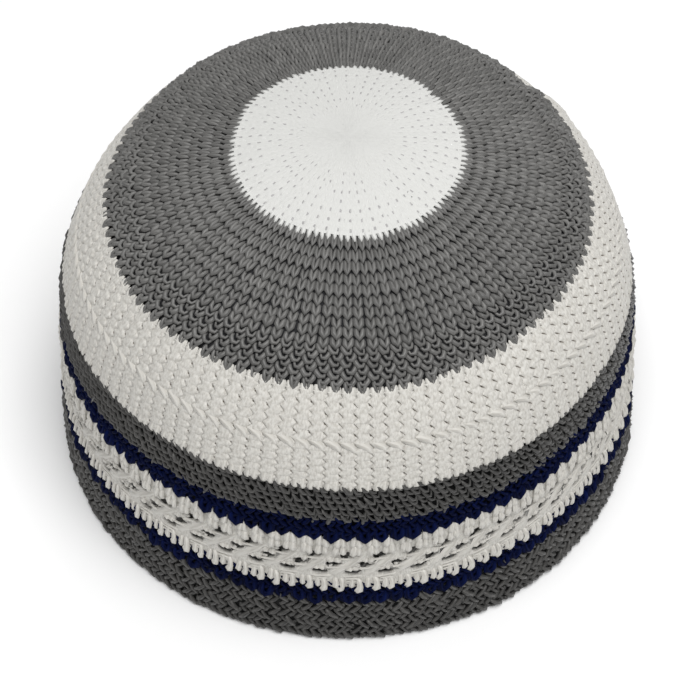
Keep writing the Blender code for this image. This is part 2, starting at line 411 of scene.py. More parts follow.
class Finish(Enum):
    """The yarns of the cap."""

    # Each row: material name, slot, colour, the painted shade of its hollows, the painted shade behind its
    # loops, then dye unevenness, roughness, sheen and shine.
    CROWN_WHITE = YarnFinish(
        "crown_white_yarn", "white_yarn", (0.64, 0.64, 0.62), (0.58, 0.58, 0.56), (0.47, 0.46, 0.46), 0.03)
    WHITE = YarnFinish(
        "white_yarn", "white_yarn", (0.67, 0.655, 0.615), (0.48, 0.46, 0.42), (0.24, 0.21, 0.18), 0.05)
    CROWN_GREY = YarnFinish(
        "crown_grey_yarn", "grey_yarn", (0.160, 0.157, 0.150), (0.085, 0.084, 0.082), (0.030, 0.030, 0.032),
        0.30, 0.45, 0.05, 0.38)
    DARK_GREY = YarnFinish(
        "dark_grey_yarn", "dark_grey_yarn", (0.088, 0.085, 0.080), (0.026, 0.026, 0.026),
        (0.018, 0.018, 0.018), 0.40, 0.45, 0.05, 0.38)
    NAVY = YarnFinish(
        "navy_yarn", "navy_yarn", (0.0016, 0.0055, 0.042), (0.0005, 0.0010, 0.007), (0.0003, 0.0005, 0.001),
        0.60, 0.7, 0.0, 0.06)


class NodeGraph:
    """A material's nodes, added and linked by name."""

    def __init__(self, name: str) -> None:
        """Start a material with an empty graph and its output."""
        self.material = bpy.data.materials.new(name)
        self.material.use_nodes = True
        self.tree = self.material.node_tree
        self.tree.nodes.clear()
        self.output = self.add("OutputMaterial")

    def add(self, kind: str, values: dict | None = None, **settings) -> Node:
        """Add a node.

        Args:
            kind: the shader node's type.
            values: input values by socket name.
            settings: the node's own properties.

        Returns:
            The new node.
        """
        node = self.tree.nodes.new("ShaderNode" + kind)
        for name, value in settings.items():
            setattr(node, name, value)
        for name, value in (values or {}).items():
            node.inputs[name].default_value = value
        return node

    def blend(self, low: tuple[float, ...], high: tuple[float, ...]) -> Node:
        """Add a node that mixes two colours."""
        return self.add("Mix", {"A": (*low, 1.0), "B": (*high, 1.0)}, data_type="RGBA")

    def wire(self, *links: tuple[Node, str, Node, str | int]) -> Material:
        """Link nodes and return the material.

        Args:
            links: for each link a node, its output, the next node and its input.
        """
        for source, output, target, socket in links:
            self.tree.links.new(source.outputs[output], target.inputs[socket])
        return self.material


class YarnMaterials:
    """Makes each yarn's two materials once: the loops' own, and the painted shade behind them."""

    FIBRES = (8.0, 2.2, 1.0)
    TWIST = 0.5
    FIBRE_BUMP = 0.00018
    PATCH_SCALE = 22.0
    FLUFF_SCALE = 900.0
    GAP_SHADE = 0.6

    def __init__(self) -> None:
        """Start with no material made."""
        self._made: dict[str, Material] = {}

    def yarn(self, finish: Finish) -> Material:
        """Return the material of a yarn's loops."""
        return self._once(self._yarn, finish.value.name, finish.value)

    def gap(self, finish: Finish) -> Material:
        """Return the material of painted shade behind a yarn's loops."""
        return self._once(self._painted_shade, finish.value.name + "_painted_shade", finish.value)

    def _once(self, make: Callable, name: str, look: YarnFinish) -> Material:
        """Return the material of a name, which is made the first time."""
        if name not in self._made:
            self._made[name] = make(NodeGraph(name), look)
        return self._made[name]

    def _yarn(self, graph: NodeGraph, look: YarnFinish) -> Material:
        """Fill in a yarn's graph: fibres along the yarn with painted shade between them, uneven dye and a
        little sheen.
        """
        uv = graph.add("UVMap", uv_map="yarn")
        turn = graph.add("Mapping", {"Rotation": (0.0, 0.0, self.TWIST), "Scale": self.FIBRES})
        fibres = graph.add("TexNoise", {"Scale": 1.0, "Detail": 2.0, "Roughness": 0.6})
        place = graph.add("TexCoord")
        patches = graph.add("TexNoise", {"Scale": self.PATCH_SCALE, "Detail": 2.0})
        tone = graph.add("Attribute", attribute_name="tone")
        spread = graph.add("MapRange", {"From Min": 0.3, "From Max": 0.62})
        # The fibre noise mixes deep_colour, painted shade in the hollows between fibres, into the yarn's
        # colour.
        fibres_and_shade = graph.blend(look.deep_colour, look.colour)
        both = graph.add("Math", operation="ADD")
        light = graph.add("MapRange", {
            "From Min": 0.2, "From Max": 1.8, "To Min": 1.0 - look.uneven, "To Max": 1.0 + look.uneven})
        dyed = graph.add("HueSaturation")
        bump = graph.add("Bump", {"Strength": 0.7, "Distance": self.FIBRE_BUMP})
        shader = graph.add("BsdfPrincipled", {
            "Roughness": look.roughness, "Sheen Weight": look.sheen, "Sheen Roughness": 0.4,
            "Specular IOR Level": look.shine})
        return graph.wire(
            (uv, "UV", turn, "Vector"), (turn, "Vector", fibres, "Vector"),
            (fibres, "Fac", spread, "Value"), (spread, "Result", fibres_and_shade, "Factor"),
            (place, "Object", patches, "Vector"), (tone, "Fac", both, 0), (patches, "Fac", both, 1),
            (both, "Value", light, "Value"), (light, "Result", dyed, "Value"),
            (fibres_and_shade, "Result", dyed, "Color"), (dyed, "Color", shader, "Base Color"),
            (fibres, "Fac", bump, "Height"), (bump, "Normal", shader, "Normal"),
            (shader, "BSDF", graph.output, "Surface"))

    def _painted_shade(self, graph: NodeGraph, look: YarnFinish) -> Material:
        """Fill in the graph of the painted shade that shows between loops, mottled by fine noise."""
        place = graph.add("TexCoord")
        fluff = graph.add("TexNoise", {"Scale": self.FLUFF_SCALE, "Detail": 1.0})
        # A dark colour painted where only shade shows between the loops.
        shade = graph.blend(tuple(self.GAP_SHADE * part for part in look.painted_shade_colour), look.painted_shade_colour)
        shader = graph.add("BsdfPrincipled", {"Roughness": 0.9, "Specular IOR Level": 0.1})
        return graph.wire(
            (place, "Object", fluff, "Vector"), (fluff, "Fac", shade, "Factor"),
            (shade, "Result", shader, "Base Color"), (shader, "BSDF", graph.output, "Surface"))


def added(operator: Callable, name: str, **settings) -> Object:
    """Add a primitive and leave nothing else selected.

    Args:
        operator: the operator that adds it.
        name: the new object's name.
        settings: the operator's properties.

    Returns:
        The new object.
    """
    bpy.ops.object.select_all(action="DESELECT")
    operator(**settings)
    piece = bpy.context.object
    piece.name = name
    return piece


@contextmanager
def edit_mode() -> Iterator[None]:
    """Keep the active object in edit mode for a while."""
    bpy.ops.object.mode_set(mode="EDIT")
    yield
    bpy.ops.object.mode_set(mode="OBJECT")


def select_only(mesh: Mesh, chosen: set[int], faces: bool) -> None:
    """Select some faces or some edges of a mesh, and nothing else, for the next edit-mode operator.

    Args:
        mesh: the mesh.
        chosen: the indices of the faces or edges.
        faces: whether faces are meant.
    """
    bpy.context.tool_settings.mesh_select_mode = (False, not faces, faces)
    for part in (*mesh.vertices, *mesh.edges, *mesh.polygons):
        part.select = False
    for index in chosen:
        (mesh.polygons if faces else mesh.edges)[index].select = True


def applied(piece: Object, kind: str, **settings) -> None:
    """Add a modifier to a piece and apply it.

    Args:
        piece: the piece, which has to be the active object.
        kind: the modifier's type.
        settings: the modifier's properties.
    """
    modifier = piece.modifiers.new(kind.lower(), kind)
    for name, value in settings.items():
        setattr(modifier, name, value)
    bpy.ops.object.modifier_apply(modifier=modifier.name)


def coordinates(mesh: Mesh) -> np.ndarray:
    """Return the places of a mesh's vertices, one row for each."""
    places = np.zeros((len(mesh.vertices), 3))
    mesh.vertices.foreach_get("co", places.ravel())
    return places


def fresh_uv_layer(mesh: Mesh) -> bpy.types.MeshUVLoopLayer:
    """Return a new UV layer for the yarn's fibres, which takes the place of all others."""
    while mesh.uv_layers:
        mesh.uv_layers.remove(mesh.uv_layers[0])
    return mesh.uv_layers.new(name="yarn")


class YarnSpinner:
    """Sweeps lengths of yarn along their paths: one straight length is modelled, copied and bent."""

    SIDES = 5
    SPACING = 0.01
    LUMPS = 0.035

    def __init__(self, surface: CapSurface) -> None:
        """Spin yarn for one cap."""
        self.surface = surface

    def straight_length(self, name: str, rings: int) -> Object:
        """Return one straight length of yarn, as long as 1 and as thick as 2, cut into rings.

        Args:
            name: the new object's name.
            rings: how many rings of points it has.
        """
        length = added(bpy.ops.mesh.primitive_cylinder_add, name, vertices=self.SIDES, radius=1.0, depth=1.0,
                       end_fill_type="NGON")
        mesh = length.data
        heights = [vertex.co.z for vertex in mesh.vertices]
        upright = {
            edge.index for edge in mesh.edges
            if heights[edge.vertices[0]] != heights[edge.vertices[1]]
        }
        select_only(mesh, upright, faces=False)
        with edit_mode():
            bpy.ops.mesh.subdivide(number_cuts=rings - 2)
        self._mark_fibres(mesh)
        return length

    def _mark_fibres(self, mesh: Mesh) -> None:
        """Give a straight length a UV map that runs once round the yarn and once along it."""
        layer = fresh_uv_layer(mesh)
        for face in mesh.polygons:
            places = [mesh.vertices[index].co for index in face.vertices]
            around = [math.atan2(place.y, place.x) / FULL_TURN % 1.0 for place in places]
            wraps = max(around) - min(around) > 0.5 and len(around) == 4
            for loop, place, turn in zip(face.loop_indices, places, around):
                turn += 1.0 if wraps and turn < 0.5 else 0.0
                layer.data[loop].uv = (turn, place.z + 0.5)

    def lay(self, name: str, strands: Strands, flatness: float, material: Material, seed: int) -> Object:
        """Lay lengths of yarn on the cap as one mesh.

        Args:
            name: the piece's name.
            strands: the paths and radii.
            flatness: how thick the yarn is across the knit, as a share of its width.
            material: the yarn's material.
            seed: the seed of the yarn's uneven tone.

        Returns:
            The finished piece.
        """
        copies, rings = strands.angles.shape
        piece = self.straight_length(name, rings)
        straight = coordinates(piece.data)
        ring = np.rint((straight[:, 2] + 0.5) * (rings - 1)).astype(int)
        around = np.arctan2(straight[:, 1], straight[:, 0])
        applied(piece, "ARRAY", count=copies, use_relative_offset=False, use_constant_offset=True,
                constant_offset_displace=(self.SPACING, 0.0, 0.0))
        centres = self.surface.place(strands.angles, strands.arcs, strands.rises)
        outer = self.surface.place(strands.angles, strands.arcs, strands.rises + MM)
        above, beside = self._frames(centres, outer - centres)
        sweep = above[:, ring] * flatness * np.sin(around)[:, None]
        sweep += beside[:, ring] * np.cos(around)[:, None]
        random = np.random.default_rng(seed)
        lumps = 1.0 + self.LUMPS * random.standard_normal((copies, len(ring), 1))
        places = centres[:, ring] + sweep * lumps * strands.radii[:, ring, None]
        places[..., 2] = np.maximum(places[..., 2], 0.0)
        piece.data.vertices.foreach_set("co", places.ravel())
        first, last = random.random((2, copies, 1))
        share = ring / (rings - 1)
        tone = first * (1 - share) + last * share
        piece.data.attributes.new("tone", "FLOAT", "POINT").data.foreach_set("value", tone.ravel())
        piece.data.materials.append(material)
        piece.data.shade_smooth()
        piece.data.update()
        return piece

    def _frames(self, centres: np.ndarray, outwards: np.ndarray) -> tuple[np.ndarray, np.ndarray]:
        """Return two directions square to each path at each of its points, without twist."""
        along = np.gradient(centres, axis=1)
        along /= np.linalg.norm(along, axis=2, keepdims=True)
        middle = centres.shape[1] // 2
        above = np.zeros_like(centres)
        above[:, middle] = outwards[:, middle]
        for ring in (*range(middle, -1, -1), *range(middle + 1, centres.shape[1])):
            near = ring if ring == middle else ring + (1 if ring < middle else -1)
            lifted = above[:, near] - (above[:, near] * along[:, ring]).sum(1, keepdims=True) * along[:, ring]
            above[:, ring] = lifted / np.linalg.norm(lifted, axis=1, keepdims=True)
        return above, np.cross(along, above)


class Maker:
    """Whatever makes pieces of one cap, with its surface and its yarns."""

    def __init__(self, surface: CapSurface, materials: YarnMaterials) -> None:
        """Keep the cap's surface and its materials."""
        self.surface = surface
        self.materials = materials


class SheetMaker(Maker):
    """Makes sheets of close knit: a grid is laid on the cap and pressed in between its stitches."""

    FIBRE_CELL = 3.0 * MM
    FIBRES_PER_WALE = 0.8
    WELD = 0.005 * MM

    def build(self, name: str, turns: np.ndarray, arcs: np.ndarray, rises: np.ndarray, shaded: np.ndarray,
              finish: Finish) -> Object:
        """Build one sheet, which runs once round the cap.

        Args:
            name: the new piece's name.
            turns: how far round the cap each point lies, in whole turns, with a row for each level.
            arcs: the points' arc lengths.
            rises: the points' rises.
            shaded: whether the face that starts at each point gets painted shade.
            finish: the sheet's yarn.
        """
        rows, columns = turns.shape
        sheet = added(bpy.ops.mesh.primitive_grid_add, name, x_subdivisions=columns, y_subdivisions=rows - 1,
                      size=1.0)
        mesh = sheet.data
        flat = coordinates(mesh)
        column = np.rint((flat[:, 0] + 0.5) * columns).astype(int)
        row = np.rint((0.5 - flat[:, 1]) * (rows - 1)).astype(int)
        turn, arc, rise = (
            np.hstack([grid, grid[:, :1] + step])[row, column]
            for grid, step in ((turns, 1.0), (np.broadcast_to(arcs, turns.shape), 0.0), (rises, 0.0)))
        mesh.vertices.foreach_set("co", self.surface.place(turn * FULL_TURN, arc, rise).ravel())
        corners_at = np.zeros(len(mesh.loops), int)
        mesh.loops.foreach_get("vertex_index", corners_at)
        mesh.uv_layers[0].name = "yarn"
        fibres = np.stack([turn * WALES * self.FIBRES_PER_WALE, arc / self.FIBRE_CELL], axis=-1)[corners_at]
        mesh.uv_layers[0].data.foreach_set("uv", fibres.ravel())
        quads = corners_at.reshape(-1, 4)
        # Faces in shade take the second material, which is painted shade.
        in_shade = shaded[row[quads].min(1), column[quads].min(1)]
        mesh.polygons.foreach_set("material_index", in_shade.astype(int))
        mesh.materials.append(self.materials.yarn(finish))
        mesh.materials.append(self.materials.gap(finish))
        with edit_mode():
            bpy.ops.mesh.select_all(action="SELECT")
            bpy.ops.mesh.remove_doubles(threshold=self.WELD)
        mesh.shade_smooth()
        return sheet


class WallPoint(NamedTuple):
    """One point of a wall's closed section. The face that follows a shaded point gets painted shade."""

    arc: float
    rise: float
    shaded: bool = False
    purl: bool = False


class WallMaker(Maker):
    """Makes walls: a ring is laid on the cap, so that its tube follows a closed section."""

    COLUMNS = 2 * WALES
    OUTER_DEPTH = 1.25 * MM
    INNER_DEPTH = 1.95 * MM
    OUTER_ROW = 3.0 * MM
    PURL_ROW = 1.35 * MM
    PURL_RELIEF = 0.30 * MM
    FIBRES_PER_CELL = 0.35

    @classmethod
    def plain(cls, top: float, foot: float) -> list[WallPoint]:
        """Return the section of a plain wall: its outer face down, with painted shade, then its purl face up.

        Args:
            top: arc length of the upper edge.
            foot: arc length of the lower edge.
        """
        return [*cls.face(top, foot, -cls.OUTER_DEPTH, cls.OUTER_ROW, shaded=True),
                *cls.face(foot, top, -cls.INNER_DEPTH, cls.PURL_ROW, purl=True)]

    @staticmethod
    def face(start: float, end: float, rise: float, row: float, shaded: bool = False,
             purl: bool = False) -> list[WallPoint]:
        """Return evenly spread points of one face of a wall, both ends among them."""
        count = max(2, round(abs(end - start) / row) + 1)
        points = [WallPoint(float(arc), rise, shaded, purl) for arc in np.linspace(start, end, count)]
        points[-1] = points[-1]._replace(shaded=False)
        return points

    def build(self, name: str, profile: list[WallPoint], finish: Finish) -> Object:
        """Build one wall.

        Args:
            name: the new piece's name.
            profile: its closed section, outer face first.
            finish: the yarn of its purl side.

        Returns:
            The wall, with the material of painted shade on its shaded faces and the yarn's on the rest.
        """
        size = len(profile)
        piece = added(bpy.ops.mesh.primitive_torus_add, name, major_radius=1.0, minor_radius=0.25,
                      major_segments=self.COLUMNS, minor_segments=size)
        mesh = piece.data
        column = np.arange(self.COLUMNS)[:, None]
        row = np.array([index if point.purl else 0 for index, point in enumerate(profile)])
        purl = np.array([point.purl for point in profile]) * (row + column) % 2
        arcs = np.array([point.arc for point in profile])
        rises = np.array([point.rise for point in profile]) - self.PURL_RELIEF * purl
        places = self.surface.place(column / self.COLUMNS * FULL_TURN, arcs, rises)
        mesh.vertices.foreach_set("co", places.ravel())
        layer = fresh_uv_layer(mesh)
        for face in mesh.polygons:
            columns = [index // size for index in face.vertices]
            steps = [index % size for index in face.vertices]
            wraps = max(columns) - min(columns) > 1
            closes = max(steps) - min(steps) > 1
            # Shaded faces get the painted shade; the rest get the yarn's colour.
            face.material_index = 0 if profile[max(steps) if closes else min(steps)].shaded else 1
            for loop, across, down in zip(face.loop_indices, columns, steps):
                across += self.COLUMNS if wraps and across == 0 else 0
                down += size if closes and down == 0 else 0
                layer.data[loop].uv = (across * self.FIBRES_PER_CELL, down * self.FIBRES_PER_CELL)
        mesh.materials.append(self.materials.gap(finish))
        mesh.materials.append(self.materials.yarn(finish))
        with edit_mode():
            bpy.ops.mesh.select_all(action="SELECT")
            bpy.ops.mesh.normals_make_consistent(inside=False)
        mesh.shade_smooth()
        return piece


class Jitter(NamedTuple):
    """How far loops stray at random: in cells, in heights of their course, in yarn radii and in shares."""

    across: float = 0.025
    along: float = 0.02
    rise: float = 0.10
    girth: float = 0.05


class KnitBand(Maker):
    """One stripe of the cap: its courses of loops and the wall behind them.

    Attributes:
        name: its CAD node, which the name of each of its pieces starts with.
        finish: its yarn.
        radius_share: the yarn's radius in cell widths.
        measured_at: how far down a course its cells' width is measured.
        flatness: how thick the yarn is across the knit, as a share of its width.
        seed: the seed of its unevenness.
        jitter: how uneven its loops are.
    """

    name = "band"
    finish = Finish.WHITE
    radius_share = 0.25
    measured_at = 0.6
    flatness = 1.0
    seed = 1
    jitter = Jitter()

    def at(self, section: str) -> float:
        """Return the arc length at a named section."""
        return self.surface.arc(section)

    def strands_of(self, course: Course, points: int, random: np.random.Generator) -> Strands:
        """Return the loops of one course.

        Args:
            course: the course.
            points: how many points each loop gets.
            random: where the loops' unevenness comes from.
        """
        across, along, rise, girth = resampled(course.form.value, points).T
        span = course.foot - course.top
        drift, lean, slip, uneven, plump = random.standard_normal((5, course.count, 1))
        sway = course.sway_top + (course.sway_foot - course.sway_top) * np.clip(along, -0.2, 1.1)
        cells = np.arange(course.count)[:, None] + course.shift + self.jitter.across * drift
        lean = self.jitter.across * lean * (along - 0.5)
        angles = (cells + across * course.reach + sway + lean) * FULL_TURN / course.count
        arcs = course.top + (along + self.jitter.along * slip) * span
        width = self.surface.cell_width(course.top + self.measured_at * span, course.count)
        radius = (course.girth or self.radius_share) * width
        rises = (rise + self.jitter.rise * uneven - 1.0) * radius * self.flatness + course.lift
        return Strands(angles, arcs, rises, radius * girth * (1.0 + self.jitter.girth * plump))

    def knit(self, part: str, courses: list[Course], points: int, finish: Finish | None = None) -> None:
        """Knit some courses as one piece.

        Args:
            part: which part of the band the piece is.
            courses: the courses.
            points: how many points each loop gets.
            finish: its yarn, or none for the band's own.
        """
        random = np.random.default_rng(self.seed)
        batches = [self.strands_of(course, points, random) for course in courses]
        self.lay(part, Strands.joined(batches), finish or self.finish)

    def lay(self, part: str, strands: Strands, finish: Finish) -> None:
        """Lay lengths of yarn as one piece of the band."""
        spinner = YarnSpinner(self.surface)
        material = self.materials.yarn(finish)
        self.claim(spinner.lay(f"{self.name}_{part}", strands, self.flatness, material, self.seed))

    def wall(self, profile: list[WallPoint]) -> None:
        """Build the wall behind the loops from its closed section. It stands for the band's CAD node."""
        maker = WallMaker(self.surface, self.materials)
        self.claim(maker.build(f"{self.name}_wall", profile, self.finish), (self.name,))

    def claim(self, piece: Object, nodes: tuple[str, ...] = ()) -> None:
        """Let a piece ride on the cap and stand for CAD nodes."""
        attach(piece, BODY)
        if nodes:
            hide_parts(*nodes)
        LOG.info("%s: %d faces", piece.name, len(piece.data.polygons))


class CrownDisc(KnitBand):
    """The white disc in the middle of the top: close knit with rings of pin-holes, gathered at the pole."""

    name = "crown_disc"
    finish = Finish.CROWN_WHITE
    flatness = 0.32
    seed = 5
    jitter = Jitter(0.05, 0.12, 0.05, 0.10)
    ribs = WALES // 2
    hole_rings = 7
    hole_depth = 0.80 * MM
    faint_depth = 0.35 * MM
    least_shaded = 0.38
    opened = (0.3, 1.2)
    rib_relief = 0.07 * MM
    top_rise = -0.10 * MM
    uneven_rise = 0.02 * MM
    uneven_turn = 0.03
    uneven_arc = 0.12 * MM
    gather_radius = 12.0 * MM
    gather_rows = 6
    tooth_length = 2.7 * MM
    edge_inset = 0.6 * MM
    pole_hole = 0.6 * MM
    across = (-0.50, -0.42, -0.26, -0.08, 0.0, 0.08, 0.26, 0.42)
    along = (0.0, 0.12, 0.34, 0.50, 0.66, 0.88)

    def build(self) -> None:
        """Build the sheet, the teeth at its edge and the wall behind it."""
        edge = self.at("disc_edge")
        self._sheet(edge - self.edge_inset)
        half = 0.5 * self.tooth_length
        self.knit("teeth", [Course(edge - half, edge + half, LoopForm.TOOTH, girth=0.48, lift=0.05 * MM)], 5)
        self.wall(WallMaker.plain(self.pole_hole, edge))

    def _sheet(self, edge: float) -> None:
        """Build the sheet. Each ring has a pin-hole between ribs, and a fainter one halfway. Painted shade
        lies round the wider pin-holes.
        """
        random = np.random.default_rng(self.seed)
        rib = np.tile(self.across, self.ribs)
        along = np.concatenate([np.tile(self.along, self.hole_rings), [0.0]])
        ring = np.concatenate([np.repeat(np.arange(self.hole_rings), len(self.along)), [self.hole_rings]])
        arcs = self.gather_radius + (edge - self.gather_radius) * (ring + along) / self.hole_rings
        arcs = np.concatenate([np.linspace(0.0, self.gather_radius, self.gather_rows + 1)[:-1], arcs])
        shape = (len(arcs), len(rib))
        least, most = self.opened
        opened = least + (most - least) * random.random((len(arcs), self.ribs))
        opened = np.repeat(opened, len(self.across), axis=1)
        share = np.clip(arcs / edge, 0.0, 1.0)[:, None]
        rises = self.top_rise - self.rib_relief * (2 * np.abs(rib)) ** 2 * share
        rises += self.uneven_rise * random.standard_normal(shape) * share
        level = np.concatenate([np.full(self.gather_rows, -1.0), along])[:, None]
        hole = (level == 0.5) & (rib == -0.5)
        faint = (level == 0.0) & (rib == 0.0) & (share < 0.97)
        rises -= (hole * self.hole_depth + faint * self.faint_depth) * opened * (0.3 + 0.7 * share)
        # The faces round each well-opened pin-hole get painted shade.
        shaded = np.zeros(shape, bool)
        for row, column in np.argwhere(hole & (opened * share > self.least_shaded)):
            shaded[row - 1:row + 1, [column - 1, column]] = True
        turns = (np.repeat(np.arange(self.ribs), len(self.across)) + rib + 0.75) / self.ribs
        turns = turns + self.uneven_turn / self.ribs * random.standard_normal(shape) * (level >= 0.0)
        arcs = arcs[:, None] + self.uneven_arc * random.standard_normal(shape) * (level > 0.0)
        maker = SheetMaker(self.surface, self.materials)
        self.claim(maker.build("crown_disc_sheet", turns, arcs, rises, shaded, self.finish))


class CrownRing(KnitBand):
    """The grey ring round the disc: long petals that open into a looser zigzag at its foot."""

    name = "crown_ring"
    finish = Finish.CROWN_GREY
    radius_share = 0.235
    seed = 11
    jitter = Jitter(0.04, 0.02, 0.18, 0.07)
    petal_rows = 10
    petal_share = 0.735
    petal_girth = 0.270
    petal_slimming = 0.040
    petal_lift = 0.10 * MM
    tallest_row = 1.16
    open_rows = 6
    cup_girth = 0.165
    cup_lift = 0.15 * MM
    zigzag = 0.14
    point_rise = 1.2 * MM
    point_overhang = 1.3 * MM
    wall_overlap = 0.4 * MM

    def petals(self) -> list[Course]:
        """Return the tight courses next to the disc, which grow shorter as they widen."""
        top = self.at("disc_edge")
        foot = top + self.petal_share * (self.at("ring_edge") - top)
        weights = np.linspace(self.tallest_row, 2 - self.tallest_row, self.petal_rows)
        edges = top + (foot - top) * np.concatenate([[0.0], np.cumsum(weights) / weights.sum()])
        slimming = np.linspace(0.0, 1.0, self.petal_rows) ** 2
        return [
            replace(course, girth=self.petal_girth - self.petal_slimming * slim,
                    lift=self.petal_lift * (-1) ** row)
            for row, (course, slim) in enumerate(zip(stacked(edges, LoopForm.PETAL), slimming))
        ]

    def open_courses(self, top: float) -> list[Course]:
        """Return the loose courses above the shoulder, whose cups bulge left and right in turn."""
        foot = self.at("ring_edge")
        edges = np.linspace(top, foot - self.point_rise, self.open_rows + 1)
        cups = stacked(edges, LoopForm.LEFT_CUP, LoopForm.RIGHT_CUP, girth=self.cup_girth, lift=self.cup_lift)
        rows = [replace(course, shift=self.zigzag * (row % 2)) for row, course in enumerate(cups)]
        points = Course(edges[-1], foot + self.point_overhang, LoopForm.POINT, girth=0.155, lift=0.2 * MM,
                        shift=0.07, reach=0.9)
        return [*rows, points]

    def build(self) -> None:
        """Build the two kinds of courses and the wall behind them."""
        petals = self.petals()
        self.knit("petals", petals, 9)
        self.knit("open_loops", self.open_courses(petals[-1].foot), 9)
        self.wall(WallMaker.plain(self.at("disc_edge"), self.at("ring_edge") + self.wall_overlap))


class ShoulderBand(KnitBand):
    """The white band that turns from the crown to the side, with a raised ridge at the turn."""

    name = "shoulder_band"
    flatness = 0.38
    seed = 23
    jitter = Jitter(0.02, 0.03, 0.06, 0.05)
    upper_rows = 6
    lower_rows = 5
    upper_zigzag = 0.15
    lower_zigzag = 0.10
    turn_back = 0.48
    pillow = 0.42 * MM
    tick_depth = 1.0 * MM
    faint_depth = 0.30 * MM
    tier_depth = 0.08 * MM
    uneven_rise = 0.10 * MM
    uneven_turn = 0.03
    edge_depth = 1.2 * MM
    ridge_height = 3.4 * MM
    tip_height = 2.6 * MM
    tip_overhang = 0.9 * MM
    tip_places = (-0.22, 0.22)
    crest_height = 3.0 * MM
    wall_overlap = 0.4 * MM
    across = (-0.50, -0.44, -0.32, -0.12, 0.12, 0.32, 0.44)
    along = (0.0, 0.08, 0.20, 0.34, 0.48, 0.62, 0.80, 0.94)

    def tiers(self) -> np.ndarray:
        """Return the arc lengths between the band's courses."""
        top = self.at("ring_edge") + 0.6 * MM
        foot = self.at("shoulder_foot") + 0.1 * MM
        ridge_foot = self.at("turning_ridge") + 0.65 * self.ridge_height
        upper = np.linspace(top, ridge_foot, self.upper_rows + 1)
        return np.concatenate([upper, np.linspace(ridge_foot, foot, self.lower_rows + 1)[1:]])

    def edges(self) -> list[Course]:
        """Return the raised ridge, the crests at the top and the two bumps of each wale at the foot."""
        foot = self.at("shoulder_foot")
        ridge = self.at("turning_ridge") - 0.35 * self.ridge_height
        top = self.at("ring_edge") - 0.5 * MM
        tips = [
            Course(foot - self.tip_height, foot + self.tip_overhang, LoopForm.BAR, shift=place, girth=0.22,
                   lift=0.1 * MM)
            for place in self.tip_places
        ]
        return [
            Course(ridge, ridge + self.ridge_height, LoopForm.TURNING, lift=0.12 * MM, girth=0.27),
            Course(top, top + self.crest_height, LoopForm.CREST, count=2 * WALES, shift=0.64, girth=0.50),
            *tips,
        ]

    def build(self) -> None:
        """Build the sheet, the loops at its edges and ridge, and the wall behind them."""
        self._sheet()
        self.knit("edges", self.edges(), 7)
        self.wall(WallMaker.plain(self.at("ring_edge") + self.wall_overlap, self.at("shoulder_foot")))

    def _sheet(self) -> None:
        """Build the sheet. Its wales zigzag, with a tick pressed in on every stretch that falls to the right
        and darkened by painted shade.
        """
        random = np.random.default_rng(self.seed)
        tiers = self.tiers()
        rows = len(tiers) - 1
        along = np.concatenate([np.tile(self.along, rows), [0.0]])[:, None]
        tier = np.concatenate([np.repeat(np.arange(rows), len(self.along)), [rows - 1]])
        tier[-1] = rows
        arcs = np.interp(tier + along[:, 0], np.arange(rows + 1), tiers)[:, None]
        cell = np.tile(self.across, WALES)
        wale = np.repeat(np.arange(WALES), len(self.across))
        strength, puff, drift = random.random((3, rows + 1, WALES))[:, tier][:, :, wale]
        zigzag = np.where(tier < self.upper_rows, self.upper_zigzag, self.lower_zigzag)[:, None]
        fall = along / self.turn_back
        climb = (along - self.turn_back) / (1 - self.turn_back)
        swing = np.where(along < self.turn_back, 2 * fall - 1, 1 - 2 * climb)
        border = (2 * np.abs(cell)) ** 3
        rises = -self.pillow * border - self.tier_depth * np.exp(-(along / 0.06) ** 2) * (1 - 0.5 * border)
        falling, rising = (np.sin(np.clip(part, 0.0, 1.0) * math.pi) for part in (fall, climb))
        line = (cell == -0.5) + 0.15 * (np.abs(cell) == 0.44)
        tick = self.tick_depth * falling * (0.5 + 0.7 * strength)
        rises = rises - line * (tick + self.faint_depth * rising)
        rises = rises + self.uneven_rise * (puff - 0.5) * (1 - border)
        rises[[0, -1]] -= self.edge_depth
        # Painted shade on the ticks, and on a few at the other side of the next wale.
        shaded = (falling > 0.3) & (along < 0.40) & (cell == -0.5) & (strength > 0.1)
        wide = (falling > 0.6) & (along < 0.34) & (cell == 0.44) & (np.roll(strength, -1, axis=1) > 0.6)
        turns = (wale + cell + zigzag * swing + self.uneven_turn * (drift - 0.5)) / WALES
        maker = SheetMaker(self.surface, self.materials)
        self.claim(maker.build("shoulder_band_sheet", turns, arcs, rises, shaded | wide, self.finish))


class SideBand(KnitBand):
    """The dark grey stripe below the shoulder, whose short curled loops lean to the right."""

    name = "side_band"
    finish = Finish.DARK_GREY
    radius_share = 0.195
    seed = 31
    jitter = Jitter(0.08, 0.10, 0.40, 0.14)
    curl_rows = 6
    curl_overlap = 0.12
    curl_reach = 1.2
    curl_lift = 0.08 * MM
    drift = 0.38
    top_overlap = 0.3 * MM
    foot_overlap = 0.8 * MM
    stub_height = 3.4 * MM

    def courses(self) -> list[Course]:
        """Return the rows of curls and the stubs that end over the navy."""
        foot = self.at("side_foot") + self.foot_overlap
        edges = np.linspace(self.at("shoulder_foot") - self.top_overlap, foot, self.curl_rows + 1)
        more = self.curl_overlap * (edges[1] - edges[0])
        curls = stacked(edges, LoopForm.CURL, count=2 * WALES, reach=self.curl_reach)
        rows = [
            replace(course, top=course.top - more, foot=course.foot + more, shift=self.drift * row,
                    lift=self.curl_lift * (-1) ** row)
            for row, course in enumerate(curls)
        ]
        stubs = Course(foot - 0.75 * self.stub_height, foot + 0.25 * self.stub_height, LoopForm.BACK_STROKE,
                       shift=-0.06, reach=0.20, girth=0.12, lift=-0.1 * MM)
        return [*rows, stubs]

    def build(self) -> None:
        """Build the curls and the wall behind them."""
        self.knit("strokes", self.courses(), 7)
        self.wall(WallMaker.plain(self.at("shoulder_foot"), self.at("side_foot")))


